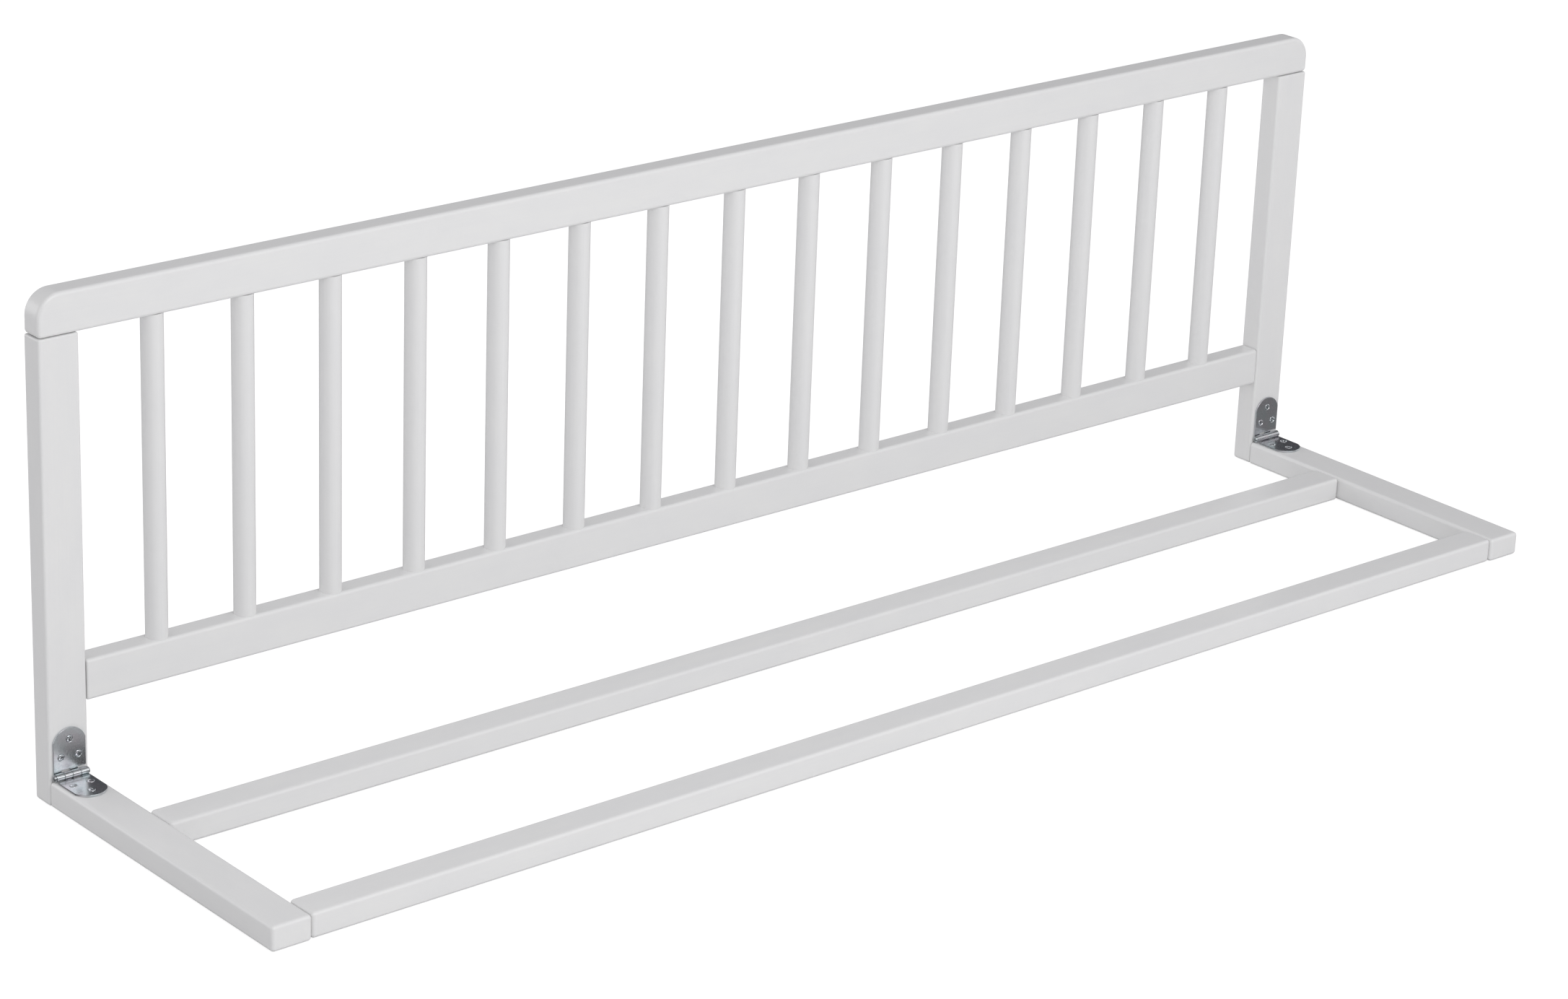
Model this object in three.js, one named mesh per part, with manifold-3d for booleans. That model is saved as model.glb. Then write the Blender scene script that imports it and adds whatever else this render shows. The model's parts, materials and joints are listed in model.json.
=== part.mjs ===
// Folding bed guard rail, in millimetres: X runs along the bed, +Y from the mattress to the guard, Z up.
// A spindle panel stands on two knuckle hinges at the back of a flat frame that slides under the mattress.
// The origin is on the bed base, under the middle of the whole part.

import * as THREE from 'three';
import { mergeVertices } from 'three/addons/utils/BufferGeometryUtils.js';
import Module from 'manifold-3d';

const wasm = await Module();
wasm.setup();

// Overall sizes
const guardLength = 1350;
const guardHeight = 414;
const frameReach = 304; // from the guard's front face to the arm ends

// Timber of the guard panel
const guardThickness = 21;
const stileWidth = 35;
const topRailHeight = 34;
const topRailHeadRadius = 20;
const topRailToeRadius = 4;
const lowerRailHeight = 34;
const lowerRailThickness = 20;
const lowerRailUnderside = 80;

// Spindles
const spindleCount = 15;
const spindleRadius = 9;
const endSpindleInset = 70; // from a stile's inner face to the first spindle's axis
const tenonRadius = 6;
const tenonLength = 14;

// Timber of the base frame
const armWidth = 35;
const armThickness = 21;
const armInset = 0.5; // an arm's outer face lies this far inside the stile's
const crossRailWidth = 30;
const crossRailThickness = 21;
const rearRailDistance = 85.5; // from the guard's front face to the rear cross rail
const frontRailSetback = 1.5; // behind the arm ends

// Sanded edges of every board
const easing = 3;
const cornerRadius = 4;

// Dowels in the corner joints
const dowelRadius = 4;
const dowelLength = 30;
const dowelPitch = 16;
const dowelChamfer = 0.8;

// Hinges
const leafThickness = 1.5;
const leafWidth = 28.5;
const leafReach = 38.8; // from the pin's axis to the round end
const leafEndRadius = 14.7;
const knuckleCount = 4;
const knuckleGap = 0.3;
const notchClearance = 1.7; // between a leaf's notch and the other leaf's knuckle
const pinRadius = 1.8;
const pinHeadRadius = 2.4;
const pinHeadDepth = 0.9;

// Hinge screws
const screwRadius = 1.75;
const screwHeadRadius = 3.1;
const screwHeadCrown = 0.45;
const screwLength = 15;
const screwTipLength = 4;
const screwTipRadius = 0.4;
const screwSpread = 7.7; // of the two screws beside the pin, from the leaf's middle
const screwPairDistance = 15.2;
const screwEndDistance = 29.4;
const recessSpan = 3.2;
const recessWidth = 0.8;
const recessDepth = 1.1;

// Clearances
const seatGap = 0.2; // glue line between boards, and under a hinge leaf
const stopGap = 0.3; // between an arm's end and the stile that stops against it
const boreFit = 0.2; // around a tenon or a dowel
const pinFit = 0.05;
const screwFit = 0.2;
const blindRoom = 1; // left beyond whatever ends in a blind hole
const overrun = 2; // of every cutter past the face that it enters

// Fineness of the round forms
const cornerSteps = 2;
const headSteps = 4;
const easingSteps = 2;
const spindleSides = 16;
const boreSides = 12;
const dowelSides = 10;
const pinSides = 20;
const pinHeadSteps = 3;
const knuckleSteps = 8;
const leafSteps = 8;
const screwSides = 10;

// The knuckle is the leaf's strip rolled round the pin, with its end left just short of the leaf.
const rollSweep = 1.6 * Math.PI;

// Sizes that follow from the ones above
const halfLength = guardLength / 2;
const stileHeight = guardHeight - topRailHeight - seatGap;
const stileX = halfLength - stileWidth / 2;
const guardMiddleY = guardThickness / 2;
const topRailUnderside = guardHeight - topRailHeight;
const lowerRailTop = lowerRailUnderside + lowerRailHeight;
const lowerRailLength = guardLength - 2 * (stileWidth + seatGap);
const lowerRailSetback = (guardThickness - lowerRailThickness) / 2;
const spindleSpan = topRailUnderside - lowerRailTop - 2 * seatGap;
const spindleRange = guardLength - 2 * (stileWidth + endSpindleInset);
const spindlePitch = spindleRange / (spindleCount - 1);
const armX = halfLength - armInset - armWidth / 2;
const crossRailLength = guardLength - 2 * (armInset + armWidth + seatGap);
const rearRailY = -rearRailDistance - crossRailWidth / 2;
const frontRailY = frontRailSetback + crossRailWidth / 2 - frameReach;
const barrelRadius = pinRadius + pinFit + leafThickness;
const pinStandOff = seatGap + barrelRadius;
const pinHeight = armThickness + pinStandOff;
const knuckleWidth = (leafWidth - (knuckleCount - 1) * knuckleGap) / knuckleCount;
const notchDistance = barrelRadius + notchClearance;
const screwPlaces = [
  [-screwSpread, screwPairDistance],
  [screwSpread, screwPairDistance],
  [0, screwEndDistance],
];

const xAxis = new THREE.Vector3(1, 0, 0);
const yAxis = new THREE.Vector3(0, 1, 0);
const zAxis = new THREE.Vector3(0, 0, 1);

const lacquer = () => new THREE.MeshStandardMaterial({ color: 0xf1f1f0, roughness: 0.38, metalness: 0 });
const bareWood = () => new THREE.MeshStandardMaterial({ color: 0xcfae7d, roughness: 0.75, metalness: 0 });
const zincPlate = () => new THREE.MeshStandardMaterial({ color: 0xc4c8cc, roughness: 0.28, metalness: 1 });

// A closed geometry as a solid that can be cut and joined.
function toSolid(geometry) {
  const bare = geometry.clone();
  bare.deleteAttribute('normal');
  bare.deleteAttribute('uv');
  const merged = mergeVertices(bare);
  const corners = merged.index.array;
  const kept = [];
  for (let i = 0; i < corners.length; i += 3) {
    const [a, b, c] = corners.slice(i, i + 3);
    if (a !== b && b !== c && c !== a) {
      kept.push(a, b, c);
    }
  }
  const mesh = new wasm.Mesh({
    numProp: 3,
    vertProperties: merged.attributes.position.array,
    triVerts: Uint32Array.from(kept),
  });
  return new wasm.Manifold(mesh);
}

function toMesh(name, solid, material) {
  const { vertProperties, triVerts } = solid.getMesh();
  const geometry = new THREE.BufferGeometry();
  geometry.setAttribute('position', new THREE.BufferAttribute(vertProperties, 3));
  geometry.setIndex(new THREE.BufferAttribute(triVerts, 1));
  geometry.computeVertexNormals();
  const mesh = new THREE.Mesh(geometry, material);
  mesh.name = name;
  return mesh;
}

// A revolved solid about +Y, from [radius, height] pairs that start and end on the axis.
function revolved(profile, sides) {
  const points = profile.map(([radius, height]) => new THREE.Vector2(radius, height));
  return toSolid(new THREE.LatheGeometry(points, sides));
}

// A board's outline: centred on X, its foot at 0, with round corners at the foot and at the head.
function boardOutline(width, height, footRadius, headRadius) {
  const halfWidth = width / 2;
  const outline = new THREE.Shape();
  outline.absarc(halfWidth - footRadius, footRadius, footRadius, 1.5 * Math.PI, 2 * Math.PI);
  outline.absarc(halfWidth - headRadius, height - headRadius, headRadius, 0, 0.5 * Math.PI);
  outline.absarc(headRadius - halfWidth, height - headRadius, headRadius, 0.5 * Math.PI, Math.PI);
  outline.absarc(footRadius - halfWidth, footRadius, footRadius, Math.PI, 1.5 * Math.PI);
  return outline;
}

// A board lying on its back, with every edge of both faces eased.
function easedBoard(outline, thickness, curveSegments) {
  const geometry = new THREE.ExtrudeGeometry(outline, {
    depth: thickness - 2 * easing,
    bevelThickness: easing,
    bevelSize: easing,
    bevelOffset: -easing,
    bevelSegments: easingSteps,
    curveSegments,
  });
  return geometry.translate(0, 0, easing);
}

// A board stood up as part of the guard: its foot at `foot`, its front face `setback` behind the guard's.
function uprightBoard(outline, thickness, curveSegments, x, foot, setback) {
  const geometry = easedBoard(outline, thickness, curveSegments);
  geometry.rotateX(Math.PI / 2);
  geometry.translate(x, thickness + setback, foot);
  return toSolid(geometry);
}

// Radius to the corners of a bore whose flats lie at `radius`.
function boreCorner(radius) {
  return radius / Math.cos(Math.PI / boreSides);
}

// A drill that enters at `mouth` and runs `depth` along `direction`.
function drill(radius, depth, mouth, direction) {
  const corner = boreCorner(radius);
  const geometry = new THREE.CylinderGeometry(corner, corner, depth + overrun, boreSides);
  geometry.translate(0, (depth - overrun) / 2, 0);
  geometry.applyQuaternion(new THREE.Quaternion().setFromUnitVectors(yAxis, direction));
  geometry.translate(mouth.x, mouth.y, mouth.z);
  return toSolid(geometry);
}

function cutAll(solid, cutters) {
  return cutters.reduce((left, cutter) => left.subtract(cutter), solid);
}

// Two dowels that cross the joint face at `centre`, spread along `spread`, each lying along `along`.
function dowelPair(name, centre, spread, along) {
  return [-1, 1].map((side, index) => ({
    name: `${name}_${index + 1}`,
    place: centre.clone().addScaledVector(spread, (side * dowelPitch) / 2),
    along,
  }));
}

function dowelBores(pairs, side) {
  const depth = dowelLength / 2 + blindRoom;
  return pairs.map(({ place, along }) => {
    return drill(dowelRadius + boreFit, depth, place, along.clone().multiplyScalar(side));
  });
}

// Joints at one end of the part; side is -1 on the left and 1 on the right.
function endJoints(side, word) {
  const outward = xAxis.clone().multiplyScalar(side);
  const head = new THREE.Vector3(side * stileX, guardMiddleY, topRailUnderside - seatGap / 2);
  const lowerRailFace = side * (lowerRailLength + seatGap) / 2;
  const lower = new THREE.Vector3(lowerRailFace, guardMiddleY, (lowerRailUnderside + lowerRailTop) / 2);
  const crossRailFace = side * (crossRailLength + seatGap) / 2;
  const rear = new THREE.Vector3(crossRailFace, rearRailY, crossRailThickness / 2);
  const front = new THREE.Vector3(crossRailFace, frontRailY, crossRailThickness / 2);
  return {
    top: dowelPair(`${word}_top_rail_dowel`, head, xAxis, zAxis),
    lower: dowelPair(`${word}_lower_rail_dowel`, lower, zAxis, outward),
    rear: dowelPair(`${word}_rear_rail_dowel`, rear, yAxis, outward),
    front: dowelPair(`${word}_front_rail_dowel`, front, yAxis, outward),
  };
}

// Where a hinge leaf sits: its own X lies along the pin, Y runs from the pin to the round end, Z off the wood.
function upperLeafFrame(x) {
  const frame = new THREE.Matrix4().makeTranslation(x, -seatGap, pinHeight);
  return frame.multiply(new THREE.Matrix4().makeRotationX(Math.PI / 2));
}

function lowerLeafFrame(x) {
  const frame = new THREE.Matrix4().makeTranslation(x, -pinStandOff, armThickness + seatGap);
  return frame.multiply(new THREE.Matrix4().makeRotationZ(Math.PI));
}

// Pilot holes in the wood under a leaf.
function pilotHoles(frame) {
  const inward = zAxis.clone().negate().transformDirection(frame);
  const depth = screwLength - leafThickness - seatGap + blindRoom;
  return screwPlaces.map(([x, y]) => {
    const mouth = new THREE.Vector3(x, y, -seatGap).applyMatrix4(frame);
    return drill(screwRadius + screwFit, depth, mouth, inward);
  });
}

function spindlePlaces() {
  const first = -spindleRange / 2;
  return Array.from({ length: spindleCount }, (_, index) => first + index * spindlePitch);
}

// Mortises for the spindles' tenons, sunk from a rail's face at `height`.
function spindleMortises(height, direction) {
  return spindlePlaces().map((x) => {
    const mouth = new THREE.Vector3(x, guardMiddleY, height);
    return drill(tenonRadius + boreFit, tenonLength + blindRoom, mouth, direction);
  });
}

function topRail(ends) {
  const outline = boardOutline(guardLength, topRailHeight, topRailToeRadius, topRailHeadRadius);
  const board = uprightBoard(outline, guardThickness, headSteps, 0, topRailUnderside, 0);
  const dowels = ends.flatMap((joints) => dowelBores(joints.top, 1));
  return cutAll(board, [...spindleMortises(topRailUnderside, zAxis), ...dowels]);
}

function lowerRail(ends) {
  const outline = boardOutline(lowerRailLength, lowerRailHeight, cornerRadius, cornerRadius);
  const foot = lowerRailUnderside;
  const board = uprightBoard(outline, lowerRailThickness, cornerSteps, 0, foot, lowerRailSetback);
  const dowels = ends.flatMap((joints) => dowelBores(joints.lower, -1));
  return cutAll(board, [...spindleMortises(lowerRailTop, zAxis.clone().negate()), ...dowels]);
}

function stile(side, joints) {
  const outline = boardOutline(stileWidth, stileHeight, cornerRadius, cornerRadius);
  const board = uprightBoard(outline, guardThickness, cornerSteps, side * stileX, 0, 0);
  const dowels = [...dowelBores(joints.top, -1), ...dowelBores(joints.lower, 1)];
  return cutAll(board, [...dowels, ...pilotHoles(upperLeafFrame(side * stileX))]);
}

function arm(side, joints) {
  const outline = boardOutline(armWidth, frameReach - stopGap, cornerRadius, cornerRadius);
  const geometry = easedBoard(outline, armThickness, cornerSteps);
  geometry.translate(side * armX, -frameReach, 0);
  const dowels = [...dowelBores(joints.rear, 1), ...dowelBores(joints.front, 1)];
  return cutAll(toSolid(geometry), [...dowels, ...pilotHoles(lowerLeafFrame(side * stileX))]);
}

function crossRail(middleY, pairs) {
  const outline = boardOutline(crossRailLength, crossRailWidth, cornerRadius, cornerRadius);
  const geometry = easedBoard(outline, crossRailThickness, cornerSteps);
  geometry.translate(0, middleY - crossRailWidth / 2, 0);
  return cutAll(toSolid(geometry), dowelBores(pairs, -1));
}

// A spindle lies along +Y, with its middle at 0.
function spindle() {
  const shoulder = spindleSpan / 2;
  const end = shoulder + tenonLength;
  const profile = [
    [0, -end],
    [tenonRadius, -end],
    [tenonRadius, -shoulder],
    [spindleRadius, -shoulder],
    [spindleRadius, shoulder],
    [tenonRadius, shoulder],
    [tenonRadius, end],
    [0, end],
  ];
  return revolved(profile, spindleSides);
}

// A dowel lies along +Y, with its middle at 0.
function dowel() {
  const end = dowelLength / 2;
  const profile = [
    [0, -end],
    [dowelRadius - dowelChamfer, -end],
    [dowelRadius, dowelChamfer - end],
    [dowelRadius, end - dowelChamfer],
    [dowelRadius - dowelChamfer, end],
    [0, end],
  ];
  return revolved(profile, dowelSides);
}

// Side view of a knuckle: the leaf's strip runs in along the wood and rolls over the pin.
function knuckleSection() {
  const start = 1.5 * Math.PI;
  const end = start - rollSweep;
  const halfFacet = rollSweep / (4 * knuckleSteps);
  const inner = (pinRadius + pinFit) / Math.cos(halfFacet);
  const section = new THREE.Shape();
  section.moveTo(notchDistance + overrun, 0);
  section.lineTo(0, 0);
  section.absarc(0, barrelRadius, barrelRadius, start, end, true);
  section.absarc(0, barrelRadius, inner, end, start, false);
  section.lineTo(notchDistance + overrun, leafThickness);
  return section;
}

function knuckle(slot) {
  const geometry = new THREE.ExtrudeGeometry(knuckleSection(), {
    depth: knuckleWidth,
    bevelEnabled: false,
    curveSegments: knuckleSteps,
  });
  geometry.applyMatrix4(new THREE.Matrix4().makeBasis(yAxis, zAxis, xAxis));
  geometry.translate(slot * (knuckleWidth + knuckleGap) - leafWidth / 2, 0, 0);
  return toSolid(geometry);
}

// The flat of a leaf, from its notch line to its round end.
function leafPlate() {
  const halfWidth = leafWidth / 2;
  const centre = leafReach - leafEndRadius;
  const shoulder = Math.acos(halfWidth / leafEndRadius);
  const outline = new THREE.Shape();
  outline.moveTo(-halfWidth, notchDistance);
  outline.lineTo(halfWidth, notchDistance);
  outline.absarc(0, centre, leafEndRadius, shoulder, Math.PI - shoulder);
  const geometry = new THREE.ExtrudeGeometry(outline, {
    depth: leafThickness,
    bevelEnabled: false,
    curveSegments: leafSteps,
  });
  return toSolid(geometry);
}

function countersink(x, y) {
  const holeRadius = boreCorner(screwRadius + screwFit);
  const sinkRadius = boreCorner(screwHeadRadius + screwFit);
  const sinkDepth = sinkRadius - holeRadius;
  const profile = [
    [0, -overrun],
    [holeRadius, -overrun],
    [holeRadius, leafThickness - sinkDepth],
    [sinkRadius, leafThickness],
    [sinkRadius, leafThickness + overrun],
    [0, leafThickness + overrun],
  ];
  const points = profile.map(([radius, height]) => new THREE.Vector2(radius, height));
  const geometry = new THREE.LatheGeometry(points, boreSides);
  geometry.rotateX(Math.PI / 2);
  return toSolid(geometry.translate(x, y, 0));
}

// Both leaves are the same pressing: knuckles in every other slot, so a turned pair meshes.
function hingeLeaf() {
  let leaf = leafPlate();
  for (let slot = 0; slot < knuckleCount; slot += 2) {
    leaf = leaf.add(knuckle(slot));
  }
  return cutAll(leaf, screwPlaces.map(([x, y]) => countersink(x, y)));
}

// The pin lies along +Y, with a low peened head on each end.
function hingePin() {
  const neck = leafWidth / 2 + knuckleGap;
  const half = [];
  for (let step = 0; step <= pinHeadSteps; step += 1) {
    const angle = (step / pinHeadSteps) * 0.5 * Math.PI;
    half.push([pinHeadRadius * Math.sin(angle), neck + pinHeadDepth * Math.cos(angle)]);
  }
  half.push([pinRadius, neck]);
  const mirrored = half.map(([radius, height]) => [radius, -height]);
  return revolved([...mirrored, ...half.reverse()], pinSides);
}

// A countersunk screw points along -Y, with the rim of its head at 0.
function screw() {
  const headDepth = screwHeadRadius - screwRadius;
  const profile = [
    [0, -screwLength],
    [screwTipRadius, -screwLength],
    [screwRadius, screwTipLength - screwLength],
    [screwRadius, -headDepth],
    [screwHeadRadius, 0],
    [screwHeadRadius / 2, screwHeadCrown],
    [0, screwHeadCrown],
  ];
  const slots = [0, Math.PI / 2].map((turn) => {
    const slot = new THREE.BoxGeometry(recessSpan, recessDepth + overrun, recessWidth);
    slot.translate(0, screwHeadCrown + (overrun - recessDepth) / 2, 0);
    return toSolid(slot.rotateY(turn));
  });
  return cutAll(revolved(profile, screwSides), slots);
}

function placed(mesh, position, along) {
  mesh.position.copy(position);
  mesh.quaternion.setFromUnitVectors(yAxis, along);
  return mesh;
}

function spindles() {
  const middle = lowerRailTop + seatGap + spindleSpan / 2;
  return spindlePlaces().map((x, index) => {
    const name = `spindle_${String(index + 1).padStart(2, '0')}`;
    return placed(toMesh(name, spindle(), lacquer()), new THREE.Vector3(x, guardMiddleY, middle), zAxis);
  });
}

function dowels(pairs) {
  return pairs.map(({ name, place, along }) => placed(toMesh(name, dowel(), bareWood()), place, along));
}

// A leaf with its three screws, in the leaf's own frame.
function leafWithScrews(word, frame) {
  const group = new THREE.Group();
  group.add(toMesh(`${word}_leaf`, hingeLeaf(), zincPlate()));
  screwPlaces.forEach(([x, y], index) => {
    const mesh = toMesh(`${word}_screw_${index + 1}`, screw(), zincPlate());
    group.add(placed(mesh, new THREE.Vector3(x, y, leafThickness), zAxis));
  });
  group.applyMatrix4(frame);
  return group;
}

function guardPanel(ends) {
  const panel = new THREE.Group();
  panel.add(toMesh('top_rail', topRail(ends.map(({ joints }) => joints)), lacquer()));
  panel.add(toMesh('lower_rail', lowerRail(ends.map(({ joints }) => joints)), lacquer()));
  panel.add(...spindles());
  for (const { side, word, joints } of ends) {
    const x = side * stileX;
    panel.add(toMesh(`${word}_stile`, stile(side, joints), lacquer()));
    panel.add(...dowels([...joints.top, ...joints.lower]));
    panel.add(leafWithScrews(`${word}_hinge_upper`, upperLeafFrame(x)));
    const pin = toMesh(`${word}_hinge_pin`, hingePin(), zincPlate());
    panel.add(placed(pin, new THREE.Vector3(x, -pinStandOff, pinHeight), xAxis));
  }
  return panel;
}

function baseFrame(ends) {
  const frame = new THREE.Group();
  const rear = ends.flatMap(({ joints }) => joints.rear);
  const front = ends.flatMap(({ joints }) => joints.front);
  frame.add(toMesh('rear_cross_rail', crossRail(rearRailY, rear), lacquer()));
  frame.add(toMesh('front_cross_rail', crossRail(frontRailY, front), lacquer()));
  frame.add(...dowels([...rear, ...front]));
  for (const { side, word, joints } of ends) {
    frame.add(toMesh(`${word}_arm`, arm(side, joints), lacquer()));
    frame.add(leafWithScrews(`${word}_hinge_lower`, lowerLeafFrame(side * stileX)));
  }
  return frame;
}

const ends = [
  { side: -1, word: 'left' },
  { side: 1, word: 'right' },
].map((end) => ({ ...end, joints: endJoints(end.side, end.word) }));

// The guard's front face is the working plane at Y = 0; the whole part is centred over the origin.
const part = new THREE.Group();
part.position.y = (frameReach - guardThickness) / 2;
part.add(guardPanel(ends));
part.add(baseFrame(ends));

export default part;
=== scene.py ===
import json
import math
import random

import bmesh
import bpy
from mathutils import Matrix, Vector


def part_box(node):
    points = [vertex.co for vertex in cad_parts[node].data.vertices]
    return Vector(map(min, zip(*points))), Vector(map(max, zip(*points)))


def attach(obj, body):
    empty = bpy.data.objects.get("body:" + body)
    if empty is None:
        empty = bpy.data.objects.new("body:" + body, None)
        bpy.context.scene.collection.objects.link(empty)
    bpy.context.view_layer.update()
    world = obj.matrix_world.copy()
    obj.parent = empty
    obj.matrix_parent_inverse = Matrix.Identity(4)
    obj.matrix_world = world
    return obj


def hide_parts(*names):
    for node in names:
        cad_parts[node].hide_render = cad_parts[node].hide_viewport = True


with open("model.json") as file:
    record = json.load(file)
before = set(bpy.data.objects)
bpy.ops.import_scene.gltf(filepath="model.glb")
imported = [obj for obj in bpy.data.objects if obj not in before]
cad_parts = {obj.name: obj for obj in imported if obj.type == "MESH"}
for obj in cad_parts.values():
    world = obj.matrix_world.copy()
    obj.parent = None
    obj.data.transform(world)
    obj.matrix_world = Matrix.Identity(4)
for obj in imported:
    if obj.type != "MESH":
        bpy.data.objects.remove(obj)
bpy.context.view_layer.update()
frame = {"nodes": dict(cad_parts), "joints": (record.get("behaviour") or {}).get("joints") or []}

mm = 0.001
xDir, yDir, zDir = Vector((1, 0, 0)), Vector((0, 1, 0)), Vector((0, 0, 1))


# Camera, at the photo's viewing angle but without its shifted lens

camera = {
    "place": (-2.2672, -2.5514, 1.4696),
    "turn": (68.816, -2.089, -40.003),  # pitch, roll and heading in degrees
    "lens": 101.51,
    "sensor": 36.0,
}


def setCamera(look):
    lens = bpy.data.cameras.new("camera")
    lens.lens = look["lens"]
    lens.sensor_width = look["sensor"]
    stand = bpy.data.objects.new("camera", lens)
    stand.location = look["place"]
    stand.rotation_euler = [math.radians(angle) for angle in look["turn"]]
    bpy.context.scene.collection.objects.link(stand)
    bpy.context.scene.camera = stand


setCamera(camera)
print("camera set")


# Node helpers

pieceShift = (3.7, 5.3, 9.1)  # how far a pattern may move from piece to piece, in metres
usualSpan = (0.3, 0.7)  # most of a noise texture's values lie in here


def newMaterial(name):
    material = bpy.data.materials.new(name)
    material.use_nodes = True
    tree = material.node_tree
    return material, tree, tree.nodes["Principled BSDF"]


def pieceCoordinates(tree):
    # each piece's own coordinates, moved by a number of its own so that no two boards match
    own = tree.nodes.new("ShaderNodeTexCoord")
    which = tree.nodes.new("ShaderNodeObjectInfo")
    moved = tree.nodes.new("ShaderNodeVectorMath")
    moved.operation = "MULTIPLY_ADD"
    moved.inputs[1].default_value = pieceShift
    tree.links.new(which.outputs["Random"], moved.inputs[0])
    tree.links.new(own.outputs["Object"], moved.inputs[2])
    return moved.outputs[0]


def noise(tree, place, layer):
    # pitch is the size of one blot in metres, and stretch draws it out along the piece
    pitch, stretch = layer["pitch"], layer.get("stretch", 1)
    scaled = tree.nodes.new("ShaderNodeMapping")
    scaled.inputs["Scale"].default_value = (1 / (pitch * stretch), 1 / pitch, 1 / pitch)
    blots = tree.nodes.new("ShaderNodeTexNoise")
    blots.inputs["Scale"].default_value = 1.0
    blots.inputs["Detail"].default_value = layer["detail"]
    blots.inputs["Roughness"].default_value = layer.get("rough", 0.5)
    tree.links.new(place, scaled.inputs["Vector"])
    tree.links.new(scaled.outputs[0], blots.inputs["Vector"])
    return blots.outputs["Fac"]


def between(tree, factor, low, high, span=usualSpan):
    # runs from low to high as the factor goes over the span
    spread = tree.nodes.new("ShaderNodeMapRange")
    spread.inputs["From Min"].default_value, spread.inputs["From Max"].default_value = span
    spread.inputs["To Min"].default_value, spread.inputs["To Max"].default_value = low, high
    tree.links.new(factor, spread.inputs["Value"])
    return spread.outputs[0]


def blendColours(tree, factor, first, second):
    # for colours the node uses its sockets 6 and 7, and its output 2
    mixed = tree.nodes.new("ShaderNodeMix")
    mixed.data_type = "RGBA"
    tree.links.new(factor, mixed.inputs["Factor"])
    for socket, colour in ((mixed.inputs[6], first), (mixed.inputs[7], second)):
        if isinstance(colour, tuple):
            socket.default_value = (*colour, 1)
        else:
            tree.links.new(colour, socket)
    return mixed.outputs[2]


def bump(tree, height, depth, under=None):
    # depth is the real height of the marks in metres
    marks = tree.nodes.new("ShaderNodeBump")
    marks.inputs["Distance"].default_value = depth
    tree.links.new(height, marks.inputs["Height"])
    if under:
        tree.links.new(under, marks.inputs["Normal"])
    return marks.outputs[0]


# Finishes
# A share is the most of a colour that its layer puts on, and a span is the part of the noise used.

lacquer = {
    "lit": (0.815, 0.815, 0.81),
    "dull": (0.785, 0.786, 0.79),
    "mottle": {"pitch": 18 * mm, "stretch": 3, "detail": 3},
    "mottleShare": 0.7,
    "grain": {"pitch": 1.1 * mm, "stretch": 55, "detail": 4},
    "grainShare": 0.35,
    "grainSpan": (0.45, 0.75),
    "grainDepth": 0.04 * mm,
    "peel": {"pitch": 1.6 * mm, "detail": 1},
    "peelDepth": 0.006 * mm,
    "roughness": (0.28, 0.36),
}


def whiteLacquer(look):
    # satin white sprayed over solid wood: the grain shows faintly and the spray has a little peel
    material, tree, shader = newMaterial("whiteLacquer")
    place = pieceCoordinates(tree)
    grain = noise(tree, place, look["grain"])
    mottle = noise(tree, place, look["mottle"])
    peel = noise(tree, place, look["peel"])
    clouded = between(tree, mottle, 0, look["mottleShare"])
    tone = blendColours(tree, clouded, look["lit"], look["dull"])
    grained = between(tree, grain, 0, look["grainShare"], look["grainSpan"])
    tone = blendColours(tree, grained, tone, look["dull"])
    raised = bump(tree, grain, look["grainDepth"])
    raised = bump(tree, peel, look["peelDepth"], raised)
    tree.links.new(tone, shader.inputs["Base Color"])
    tree.links.new(between(tree, mottle, *look["roughness"]), shader.inputs["Roughness"])
    tree.links.new(raised, shader.inputs["Normal"])
    return material


zinc = {
    "cool": (0.60, 0.67, 0.69),
    "warm": (0.62, 0.59, 0.63),
    "bright": (0.78, 0.79, 0.80),
    "cloud": {"pitch": 11 * mm, "detail": 2},
    "speckle": {"pitch": 0.5 * mm, "detail": 3, "rough": 0.6},
    "speckleShare": 0.8,
    "speckleSpan": (0.42, 0.75),
    "speckleDepth": 0.004 * mm,
    "wave": {"pitch": 5 * mm, "detail": 1},
    "waveDepth": 0.02 * mm,
    "roughness": (0.16, 0.30),
}


def zincPlate(look):
    # bright zinc on pressed steel, with the cloudy tints and fine speckle that plating leaves
    material, tree, shader = newMaterial("zincPlate")
    place = pieceCoordinates(tree)
    cloud = noise(tree, place, look["cloud"])
    speckle = noise(tree, place, look["speckle"])
    wave = noise(tree, place, look["wave"])
    tone = blendColours(tree, between(tree, cloud, 0, 1), look["cool"], look["warm"])
    speckled = between(tree, speckle, 0, look["speckleShare"], look["speckleSpan"])
    tone = blendColours(tree, speckled, tone, look["bright"])
    raised = bump(tree, wave, look["waveDepth"])
    raised = bump(tree, speckle, look["speckleDepth"], raised)
    shader.inputs["Metallic"].default_value = 1.0
    tree.links.new(tone, shader.inputs["Base Color"])
    tree.links.new(between(tree, speckle, *look["roughness"]), shader.inputs["Roughness"])
    tree.links.new(raised, shader.inputs["Normal"])
    return material


beech = {
    "pale": (0.66, 0.47, 0.29),
    "dark": (0.50, 0.32, 0.18),
    "grain": {"pitch": 0.7 * mm, "stretch": 14, "detail": 5},
    "grainDepth": 0.03 * mm,
    "fleck": {"pitch": 0.4 * mm, "stretch": 4, "detail": 1},
    "fleckShare": 0.6,
    "fleckSpan": (0.62, 0.8),
    "roughness": (0.55, 0.7),
}


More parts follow.
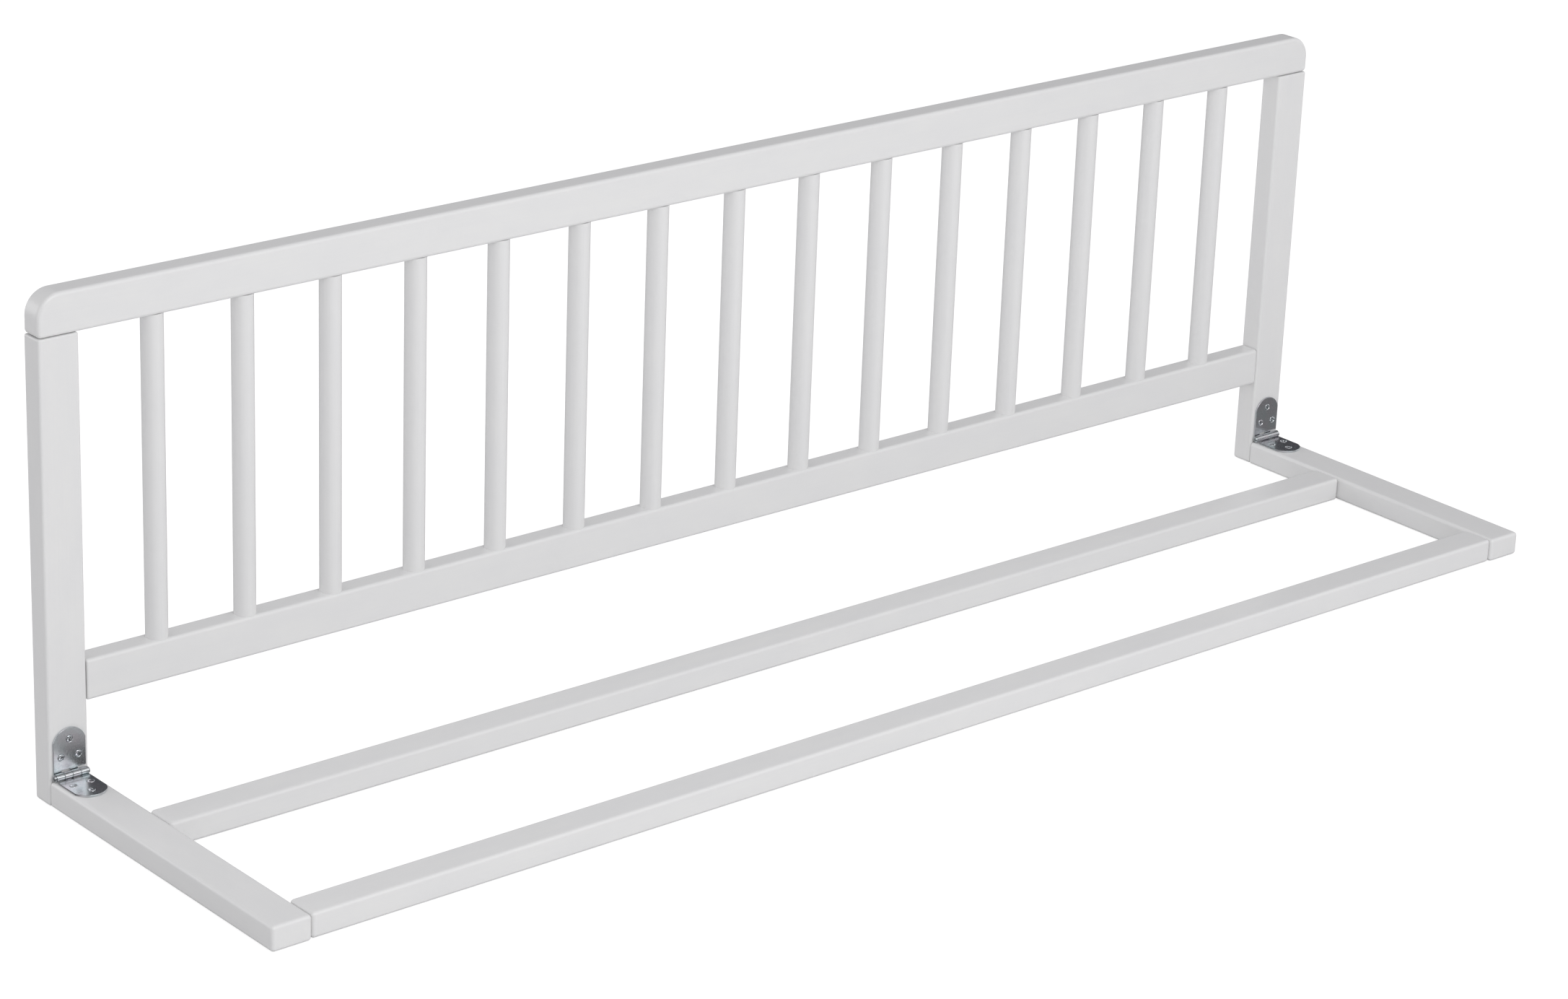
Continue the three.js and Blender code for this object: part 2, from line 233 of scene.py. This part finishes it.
def bareBeech(look):
    # turned dowel wood with short dark flecks
    material, tree, shader = newMaterial("bareBeech")
    place = pieceCoordinates(tree)
    grain = noise(tree, place, look["grain"])
    fleck = noise(tree, place, look["fleck"])
    tone = blendColours(tree, between(tree, grain, 0, 1), look["pale"], look["dark"])
    flecked = between(tree, fleck, 0, look["fleckShare"], look["fleckSpan"])
    tone = blendColours(tree, flecked, tone, look["dark"])
    tree.links.new(tone, shader.inputs["Base Color"])
    tree.links.new(between(tree, grain, *look["roughness"]), shader.inputs["Roughness"])
    tree.links.new(bump(tree, grain, look["grainDepth"]), shader.inputs["Normal"])
    return material


lacquerFinish = {"material": whiteLacquer(lacquer), "slot": "white_lacquer"}
zincFinish = {"material": zincPlate(zinc), "slot": "zinc_plate"}
bareWood = bareBeech(beech)
print("finishes ready")


# Mesh helpers

sharpAngle = 33  # degrees between two faces, above which their edge stays crisp
leastRadius = 0.05 * mm  # no rounded corner of a section is smaller


def quarterArc(steps):
    return [math.radians(90 * step / steps) for step in range(steps + 1)]


def roundedSection(width, height, radii, steps):
    # a rectangle with rounded corners, from the upper right one round by the upper left
    points = []
    corners = ((1, 1), (-1, 1), (-1, -1), (1, -1))
    for quarter, ((across, up), radius) in enumerate(zip(corners, radii)):
        for step in range(steps + 1):
            angle = math.radians(90 * (quarter + step / steps))
            points.append((
                across * (width / 2 - radius) + radius * math.cos(angle),
                up * (height / 2 - radius) + radius * math.sin(angle),
            ))
    return points


def easedSection(width, height, easing, inset, steps):
    # a section drawn in by inset on all sides, its corners drawn in with it
    radius = max(easing - inset, leastRadius)
    return roundedSection(width - 2 * inset, height - 2 * inset, [radius] * 4, steps)


def roundSection(radius, sides):
    turns = [2 * math.pi * side / sides for side in range(sides)]
    return [(radius * math.cos(turn), radius * math.sin(turn)) for turn in turns]


def easedRings(length, eases, steps, sectionAt):
    # rings from one end to the other, drawn in at each end as far as that end is eased
    rings = []
    for side, ease in zip((-1, 1), eases):
        half = []
        for angle in quarterArc(steps):
            inset = ease * (1 - math.sin(angle))
            distance = length / 2 - ease * (1 - math.cos(angle))
            half.append((side * distance, sectionAt(inset)))
        rings += half if side < 0 else half[::-1]
    return rings


def alongX(distance, u, v):
    return Vector((distance, u, v))


def alongY(distance, u, v):
    return Vector((u, distance, v))


def alongZ(distance, u, v):
    return Vector((u, v, distance))


def ringAt(mesh, points, height):
    return [mesh.verts.new((x, y, height)) for x, y in points]


def wall(mesh, rings):
    # joins each ring to the next
    for lower, upper in zip(rings, rings[1:]):
        for i in range(len(lower)):
            j = (i + 1) % len(lower)
            mesh.faces.new((lower[i], lower[j], upper[j], upper[i]))


def sweep(sections, placeAt=alongX):
    # a closed solid through the sections, each given with its distance
    mesh = bmesh.new()
    rings = []
    for distance, section in sections:
        rings.append([mesh.verts.new(placeAt(distance, u, v)) for u, v in section])
    wall(mesh, rings)
    mesh.faces.new(rings[0][::-1])
    mesh.faces.new(rings[-1])
    bmesh.ops.recalc_face_normals(mesh, faces=mesh.faces)
    return mesh


def rawObject(name, mesh):
    data = bpy.data.meshes.new(name)
    mesh.to_mesh(data)
    mesh.free()
    piece = bpy.data.objects.new(name, data)
    bpy.context.scene.collection.objects.link(piece)
    return piece


def combine(base, tools, operation):
    for tool in tools:
        step = base.modifiers.new(operation, "BOOLEAN")
        step.operation = operation
        step.solver = "EXACT"
        step.object = tool
    graph = bpy.context.evaluated_depsgraph_get()
    made = bpy.data.meshes.new_from_object(base.evaluated_get(graph))
    base.modifiers.clear()
    base.data = made
    for tool in tools:
        bpy.data.objects.remove(tool)
    return base


def shadeSoftly(data):
    mesh = bmesh.new()
    mesh.from_mesh(data)
    for face in mesh.faces:
        face.smooth = True
    for edge in mesh.edges:
        edge.smooth = edge.calc_face_angle(math.pi) < math.radians(sharpAngle)
    mesh.to_mesh(data)
    mesh.free()


def fit(piece, place, finish, body, node):
    # sets a finished piece in its place, in its finish, on its body and instead of its solid
    shadeSoftly(piece.data)
    even = piece.modifiers.new("even shading", "WEIGHTED_NORMAL")
    even.keep_sharp = True
    piece.data.materials.clear()
    piece.data.materials.append(finish["material"])
    piece.matrix_world = place
    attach(piece, body)
    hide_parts(node)


def middle(node):
    low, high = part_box(node)
    return (low + high) / 2


def facing(place, along, across):
    # a piece's own X and Y turned to along and across
    up = along.cross(across)
    return Matrix.Translation(place) @ Matrix((along, across, up)).transposed().to_4x4()


# Timber
# Easing rounds a board's long edges, ends round its two ends, and gaps leave a line at a joint.

boardSteps = 6  # facets round an eased edge

rails = {  # ends and gaps: left, right
    "lowerRail": {
        "node": "lower_rail",
        "body": "guard_panel",
        "easing": 3 * mm,
        "ends": (1.6 * mm, 1.6 * mm),
        "gaps": (0.8 * mm, 0.2 * mm),
    },
    "rearCrossRail": {
        "node": "rear_cross_rail",
        "body": "base_frame",
        "easing": 3 * mm,
        "ends": (3 * mm, 3 * mm),
        "gaps": (0.2 * mm, 0.2 * mm),
    },
    "frontCrossRail": {
        "node": "front_cross_rail",
        "body": "base_frame",
        "easing": 3 * mm,
        "ends": (3 * mm, 3 * mm),
        "gaps": (0.7 * mm, 0.2 * mm),
    },
}

stile = {  # ends and gaps: foot, head
    "body": "guard_panel",
    "easing": 2.2 * mm,
    "ends": (3 * mm, 1.3 * mm),
    "gaps": (0, 0.2 * mm),
}

arm = {  # ends and gaps: front, back
    "body": "base_frame",
    "easing": 3 * mm,
    "ends": (3 * mm, 1.5 * mm),
    "gaps": (0, 0),
}


def makeBoard(name, node, along, look):
    # a board whose length lies along `along`, filling its solid but for the gaps at its ends
    across = xDir if along == yDir else yDir
    low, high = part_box(node)
    directions = (along, across, along.cross(across))
    length, width, height = (abs((high - low).dot(way)) for way in directions)
    lowGap, highGap = look["gaps"]
    length -= lowGap + highGap
    centre = (low + high) / 2 + along * (lowGap - highGap) / 2

    def sectionAt(inset):
        return easedSection(width, height, look["easing"], inset, boardSteps)

    piece = rawObject(name, sweep(easedRings(length, look["ends"], boardSteps, sectionAt)))
    fit(piece, facing(centre, along, across), lacquerFinish, look["body"], node)


for name, look in rails.items():
    makeBoard(name, look["node"], xDir, look)
for side in ("left", "right"):
    makeBoard(side + "Stile", side + "_stile", zDir, stile)
    makeBoard(side + "Arm", side + "_arm", yDir, arm)

topRail = {
    "headRadius": 20 * mm,  # upper corners, seen from the front
    "toeRadius": 4 * mm,
    "easing": 3.2 * mm,
    "cornerSteps": 22,
    "steps": 7,
}


def makeTopRail():
    low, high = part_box("top_rail")
    length, thickness, height = high - low

    def sectionAt(inset):
        head, toe = topRail["headRadius"] - inset, topRail["toeRadius"] - inset
        radii = (head, head, toe, toe)
        steps = topRail["cornerSteps"]
        return roundedSection(length - 2 * inset, height - 2 * inset, radii, steps)

    eases = (topRail["easing"], topRail["easing"])
    rings = easedRings(thickness, eases, topRail["steps"], sectionAt)
    piece = rawObject("topRail", sweep(rings, alongY))
    fit(piece, Matrix.Translation(middle("top_rail")), lacquerFinish, "guard_panel", "top_rail")


makeTopRail()
print("boards made")

spindles = {
    "radius": 9 * mm,
    "sides": 48,
    "sunk": 3 * mm,  # how far each end goes into its rail
    "shoulderGap": 0.25 * mm,  # dark line under the top rail
    "shoulderEasing": 0.3 * mm,
    "tenonRadius": 6 * mm,
}


def makeSpindle(node):
    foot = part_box("lower_rail")[1].z - spindles["sunk"]
    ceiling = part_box("top_rail")[0].z
    shoulder = ceiling - spindles["shoulderGap"]
    levels = (
        (foot, spindles["radius"]),
        (shoulder - spindles["shoulderEasing"], spindles["radius"]),
        (shoulder, spindles["radius"] - spindles["shoulderEasing"]),
        (shoulder, spindles["tenonRadius"]),
        (ceiling + spindles["sunk"], spindles["tenonRadius"]),
    )
    sides = spindles["sides"]
    rings = [(height - foot, roundSection(radius, sides)) for height, radius in levels]
    base = middle(node)
    base.z = foot
    piece = rawObject(node.replace("spindle_", "spindle"), sweep(rings))
    fit(piece, facing(base, zDir, yDir), lacquerFinish, "guard_panel", node)


spindleNodes = sorted(name for name in frame["nodes"] if name.startswith("spindle_"))
for node in spindleNodes:
    makeSpindle(node)
print("spindles made:", len(spindleNodes))

for name, dowel in frame["nodes"].items():
    if "dowel" in name:  # glued in, out of sight
        dowel.material_slots[0].material = bareWood


# Hinges

hinge = {
    "leafWidth": 28.5 * mm,
    "leafThickness": 1.5 * mm,
    "leafReach": 38.8 * mm,  # from the pin to the round end
    "endRadius": 14.7 * mm,
    "endSteps": 40,
    "edgeRound": 0.3 * mm,
    "edgeSteps": 3,
    "knuckles": 4,
    "knuckleGap": 0.3 * mm,
    "notch": 4.3 * mm,  # from the pin to the flat of the leaf
    "pinRadius": 1.8 * mm,
    "pinFit": 0.05 * mm,
    "rollTurn": 288,  # degrees that a strip rolls round the pin
    "rollSteps": 44,
    "seatGap": 0.2 * mm,  # between a leaf and its wood
    "weld": 0.004 * mm,  # keeps the rolled strips just inside the leaf's faces where they join it
    "weldReach": 1.5 * mm,  # how far they run on inside the leaf
    "sinkRadius": 3.3 * mm,
    "holeRadius": 1.95 * mm,
    "holeSides": 36,
    "screwPlaces": ((-7.7 * mm, 15.2 * mm), (7.7 * mm, 15.2 * mm), (0, 29.4 * mm)),
    "screwSeed": 7,  # each screw stops at a turn of its own
}


def leafOutline(inset):
    half = hinge["leafWidth"] / 2 - inset
    radius = hinge["endRadius"] - inset
    centre = hinge["leafReach"] - hinge["endRadius"]
    shoulder = math.acos(half / radius)
    points = [(-half, hinge["notch"] + inset), (half, hinge["notch"] + inset)]
    for step in range(hinge["endSteps"] + 1):
        angle = shoulder + (math.pi - 2 * shoulder) * step / hinge["endSteps"]
        points.append((radius * math.cos(angle), centre + radius * math.sin(angle)))
    return points


def cover(mesh, rings):
    # fills a flat face inside the first ring, and leaves the others open
    edges = []
    for ring in rings:
        for first, second in zip(ring, ring[1:] + ring[:1]):
            edges.append(mesh.edges.get((first, second)) or mesh.edges.new((first, second)))
    bmesh.ops.triangle_fill(mesh, use_beauty=True, edges=edges)


def leafFlat():
    # the stamped flat of a leaf, its front edge rounded over, with three countersunk holes
    mesh = bmesh.new()
    top = hinge["leafThickness"]
    rings = [ringAt(mesh, leafOutline(0), 0)]
    for angle in quarterArc(hinge["edgeSteps"]):
        inset = hinge["edgeRound"] * (1 - math.cos(angle))
        height = top - hinge["edgeRound"] * (1 - math.sin(angle))
        rings.append(ringAt(mesh, leafOutline(inset), height))
    wall(mesh, rings)
    mouths, throats = [], []
    sinkRadius, holeRadius = hinge["sinkRadius"], hinge["holeRadius"]
    sinkFloor = top - (sinkRadius - holeRadius)  # a cone of 90 degrees
    levels = ((sinkRadius, top), (holeRadius, sinkFloor), (holeRadius, 0))
    for x, y in hinge["screwPlaces"]:
        hole = []
        for radius, height in levels:
            circle = [(x + u, y + v) for u, v in roundSection(radius, hinge["holeSides"])]
            hole.append(ringAt(mesh, circle, height))
        wall(mesh, hole)
        mouths.append(hole[0])
        throats.append(hole[-1])
    cover(mesh, [rings[-1], *mouths])
    cover(mesh, [rings[0], *throats])
    bmesh.ops.recalc_face_normals(mesh, faces=mesh.faces)
    return rawObject("leafFlat", mesh)


def rolledKnuckle(slot):
    # a strip that leaves the leaf along the wood and rolls over the pin
    thickness = hinge["leafThickness"]
    barrel = hinge["pinRadius"] + hinge["pinFit"] + thickness
    gaps = (hinge["knuckles"] - 1) * hinge["knuckleGap"]
    width = (hinge["leafWidth"] - gaps) / hinge["knuckles"]
    centre = slot * (width + hinge["knuckleGap"]) + (width - hinge["leafWidth"]) / 2
    run = hinge["notch"] + hinge["weldReach"]
    end = run + math.radians(hinge["rollTurn"]) * barrel
    lip = end - hinge["edgeRound"]

    def placeAt(distance, u, v):
        off = v + thickness / 2
        if distance <= run:
            return Vector((centre + u, run - distance, off))
        turn = (distance - run) / barrel
        reach = barrel - off
        return Vector((centre + u, -reach * math.sin(turn), barrel - reach * math.cos(turn)))

    def sectionAt(inset):
        height = thickness - 2 * hinge["weld"]
        return easedSection(width, height, hinge["edgeRound"], inset, hinge["edgeSteps"])

    rings = [(0, sectionAt(0))]
    for step in range(hinge["rollSteps"]):
        rings.append((run + (lip - run) * step / hinge["rollSteps"], sectionAt(0)))
    for angle in quarterArc(hinge["edgeSteps"]):
        distance = end - hinge["edgeRound"] * (1 - math.sin(angle))
        rings.append((distance, sectionAt(hinge["edgeRound"] * (1 - math.cos(angle)))))
    return rawObject("knuckle", sweep(rings, placeAt))


def makeLeaf(name):
    # knuckles in every other slot, so that a second leaf turned over meshes with the first
    leaf = leafFlat()
    combine(leaf, [rolledKnuckle(slot) for slot in range(0, hinge["knuckles"], 2)], "UNION")
    leaf.name = name
    return leaf


pin = {
    "headRadius": 2.65 * mm,
    "headDepth": 1.5 * mm,
    "headSteps": 8,
    "sides": 40,
}


def makePin(name):
    neck = hinge["leafWidth"] / 2 + hinge["knuckleGap"]
    half = [(neck - hinge["edgeRound"], roundSection(hinge["pinRadius"], pin["sides"]))]
    for angle in quarterArc(pin["headSteps"])[:-1]:
        radius = pin["headRadius"] * math.cos(angle)
        distance = neck + pin["headDepth"] * math.sin(angle)
        half.append((distance, roundSection(radius, pin["sides"])))
    mirrored = [(-distance, section) for distance, section in half[::-1]]
    return rawObject(name, sweep(mirrored + half))


screw = {
    "headRadius": 2.8 * mm,
    "sunk": 0.4 * mm,  # rim of the head below the face of the leaf
    "rim": 0.12 * mm,
    "crown": 0.9 * mm,
    "crownSteps": 6,
    "crownFullness": 0.6,  # 1 is a plain dome, and less is fuller
    "crownFlat": 0.2,  # flat middle, as a share of the head
    "shankRadius": 1.75 * mm,
    "length": 15 * mm,
    "tip": 4 * mm,
    "tipRadius": 0.4 * mm,
    "sides": 48,
    "recessSpan": 3.5 * mm,
    "recessWidth": 0.85 * mm,
    "recessDepth": 1.5 * mm,
    "recessTaper": 0.45,  # share of its size at the bottom
    "recessFlare": 1.1,  # and where the cutter ends above the head
    "recessOver": 0.5 * mm,
}


def plusSection(span, width):
    a, b = span / 2, width / 2
    corner = [(a, -b), (a, b), (b, b)]
    points = []
    for quarter in range(4):
        for x, y in corner:
            for _ in range(quarter):
                x, y = -y, x
            points.append((x, y))
    return points


def makeScrew(name):
    # countersunk wood screw standing along its own Z, the rim of its head at 0
    head, shank, crown = screw["headRadius"], screw["shankRadius"], screw["crown"]
    profile = [
        (-screw["length"], screw["tipRadius"]),
        (screw["tip"] - screw["length"], shank),
        (shank - head, shank),
        (-screw["rim"], head),
    ]
    for angle in quarterArc(screw["crownSteps"])[:-1]:
        radius = head * math.cos(angle) ** screw["crownFullness"]
        profile.append((crown * math.sin(angle), radius))
    profile.append((crown, head * screw["crownFlat"]))
    rings = [(height, roundSection(radius, screw["sides"])) for height, radius in profile]
    body = rawObject(name, sweep(rings, alongZ))
    span, width = screw["recessSpan"], screw["recessWidth"]
    taper, flare = screw["recessTaper"], screw["recessFlare"]
    recess = [
        (crown - screw["recessDepth"], plusSection(span * taper, width * taper)),
        (crown + screw["recessOver"], plusSection(span * flare, width * flare)),
    ]
    cutter = rawObject("recess", sweep(recess, alongZ))
    return combine(body, [cutter], "DIFFERENCE")


def copyOf(piece, name):
    twin = bpy.data.objects.new(name, piece.data.copy())
    bpy.context.scene.collection.objects.link(twin)
    return twin


def makeHinges():
    drawing = {"leaf": makeLeaf("leaf"), "pin": makePin("pin"), "screw": makeScrew("screw")}
    pinPlace = Vector(frame["joints"][0]["pos_m"])
    screwDepth = hinge["leafThickness"] - screw["sunk"]
    turns = random.Random(hinge["screwSeed"])
    for side in ("left", "right"):
        x = middle(side + "_hinge_pin").x
        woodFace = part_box(side + "_stile")[0].y - hinge["seatGap"]
        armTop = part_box(side + "_arm")[1].z + hinge["seatGap"]
        leaves = {
            "Upper": (facing(Vector((x, woodFace, pinPlace.z)), xDir, zDir), "guard_panel"),
            "Lower": (facing(Vector((x, pinPlace.y, armTop)), -xDir, -yDir), "base_frame"),
        }
        for word, (place, body) in leaves.items():
            node = side + "_hinge_" + word.lower()
            leaf = copyOf(drawing["leaf"], side + "Hinge" + word + "Leaf")
            fit(leaf, place, zincFinish, body, node + "_leaf")
            for index, (u, v) in enumerate(hinge["screwPlaces"], 1):
                turned = Matrix.Rotation(turns.uniform(0, math.pi / 2), 4, "Z")
                seat = place @ Matrix.Translation((u, v, screwDepth)) @ turned
                fastener = copyOf(drawing["screw"], f"{side}Hinge{word}Screw{index}")
                fit(fastener, seat, zincFinish, body, f"{node}_screw_{index}")
        rod = copyOf(drawing["pin"], side + "HingePin")
        place = facing(Vector((x, pinPlace.y, pinPlace.z)), xDir, yDir)
        fit(rod, place, zincFinish, "guard_panel", side + "_hinge_pin")
    for piece in drawing.values():
        bpy.data.objects.remove(piece)


makeHinges()
print("hinges made")


# Studio

sky = {
    "colour": (0.985, 0.98, 1.0),
    "light": 0.58,
}

floor = {
    "size": 60.0,
    "drop": 0.6 * mm,
    "colour": (0.86, 0.86, 0.86),
    "shadow": 0.5,  # how much of the real shading the camera sees
    "white": 1.56,
}

cards = {  # dark cards round the guard that only reflections show
    "behind": {
        "colour": (0.11, 0.11, 0.12),
        "place": (0, 1.5, 1.25),
        "size": (8.0, 2.5),
        "tilt": 90,
    },
    "leftUnderneath": {
        "colour": (0.14, 0.14, 0.14),
        "place": (-2, -0.4, -0.3 * mm),
        "size": (4.0, 4.0),
        "tilt": 0,
    },
    "rightUnderneath": {
        "colour": (0.25, 0.25, 0.25),
        "place": (2, -0.4, -0.3 * mm),
        "size": (4.0, 4.0),
        "tilt": 0,
    },
    "before": {
        "colour": (0.12, 0.12, 0.12),
        "place": (0, -4.2, 1.6),
        "size": (10.0, 3.2),
        "tilt": 90,
    },
    "above": {  # the bare strip between this one and the next shows in the knuckles
        "colour": (0.12, 0.12, 0.12),
        "place": (0, 1.6, 3.6),
        "size": (10.0, 5.8),
        "tilt": 0,
    },
    "aboveFront": {
        "colour": (0.12, 0.12, 0.12),
        "place": (0, -3.6, 3.6),
        "size": (10.0, 1.8),
        "tilt": 0,
    },
}

cardRoughness = 0.9

lamps = {  # power in watts
    "key": {"place": (-0.6, -2.0, 1.6), "size": (1.6, 1.0), "power": 18.5},
    "right": {"place": (0.8, -2.2, 1.25), "size": (1.4, 1.2), "power": 8},
    "back": {"place": (-1.6, 2.2, 0.7), "size": (1.6, 1.0), "power": 13},
}

lampAim = Vector((0, 0, 0.15))


def seenDirectly(tree):
    # 1 where the camera, or metal and glass, look straight at something
    path = tree.nodes.new("ShaderNodeLightPath")
    seen = path.outputs["Is Camera Ray"]
    for kind in ("Is Glossy Ray", "Is Transmission Ray"):
        either = tree.nodes.new("ShaderNodeMath")
        either.operation = "ADD"
        either.use_clamp = True
        tree.links.new(seen, either.inputs[0])
        tree.links.new(path.outputs[kind], either.inputs[1])
        seen = either.outputs[0]
    return seen


def makeSky(look):
    # lights the guard softly, and is plain white where it is seen
    world = bpy.data.worlds.new("studio")
    world.use_nodes = True
    tree = world.node_tree
    lit = tree.nodes["Background"]
    lit.inputs["Color"].default_value = (*look["colour"], 1)
    lit.inputs["Strength"].default_value = look["light"]
    plain = tree.nodes.new("ShaderNodeBackground")
    plain.inputs["Color"].default_value = (1, 1, 1, 1)
    plain.inputs["Strength"].default_value = 1.0
    mixed = tree.nodes.new("ShaderNodeMixShader")
    tree.links.new(seenDirectly(tree), mixed.inputs["Fac"])
    tree.links.new(lit.outputs[0], mixed.inputs[1])
    tree.links.new(plain.outputs[0], mixed.inputs[2])
    tree.links.new(mixed.outputs[0], tree.nodes["World Output"].inputs["Surface"])
    bpy.context.scene.world = world


def makeFloor(look):
    # pale paper to the light, and white with a faint shadow where it is seen
    bpy.ops.mesh.primitive_plane_add(size=look["size"], location=(0, 0, -look["drop"]))
    sheet = bpy.context.object
    sheet.name = "floor"
    material = bpy.data.materials.new("floor")
    material.use_nodes = True
    tree = material.node_tree
    tree.nodes.remove(tree.nodes["Principled BSDF"])
    paper = tree.nodes.new("ShaderNodeBsdfDiffuse")
    paper.inputs["Color"].default_value = (*look["colour"], 1)
    glow = tree.nodes.new("ShaderNodeEmission")
    glow.inputs["Strength"].default_value = look["white"]
    whitened = tree.nodes.new("ShaderNodeMixShader")
    whitened.inputs["Fac"].default_value = look["shadow"]
    mixed = tree.nodes.new("ShaderNodeMixShader")
    tree.links.new(glow.outputs[0], whitened.inputs[1])
    tree.links.new(paper.outputs[0], whitened.inputs[2])
    tree.links.new(seenDirectly(tree), mixed.inputs["Fac"])
    tree.links.new(paper.outputs[0], mixed.inputs[1])
    tree.links.new(whitened.outputs[0], mixed.inputs[2])
    tree.links.new(mixed.outputs[0], tree.nodes["Material Output"].inputs["Surface"])
    sheet.data.materials.append(material)


def makeCards(looks):
    for name, look in looks.items():
        dark, _, shader = newMaterial(name + "Card")
        shader.inputs["Base Color"].default_value = (*look["colour"], 1)
        shader.inputs["Roughness"].default_value = cardRoughness
        tilt = math.radians(look["tilt"])
        bpy.ops.mesh.primitive_plane_add(size=1, location=look["place"], rotation=(tilt, 0, 0))
        card = bpy.context.object
        card.name = name + "Card"
        card.scale = (*look["size"], 1)
        card.visible_camera = card.visible_diffuse = False
        card.visible_transmission = card.visible_shadow = False
        card.data.materials.append(dark)


def makeLamps(looks):
    for name, look in looks.items():
        light = bpy.data.lights.new(name, "AREA")
        light.shape = "RECTANGLE"
        light.size, light.size_y = look["size"]
        light.energy = look["power"]
        stand = bpy.data.objects.new(name, light)
        stand.location = look["place"]
        stand.rotation_euler = (stand.location - lampAim).to_track_quat("Z", "Y").to_euler()
        stand.visible_camera = False
        bpy.context.scene.collection.objects.link(stand)


makeSky(sky)
makeFloor(floor)
makeCards(cards)
makeLamps(lamps)
bpy.context.scene.view_settings.view_transform = "Standard"
print("studio lit")
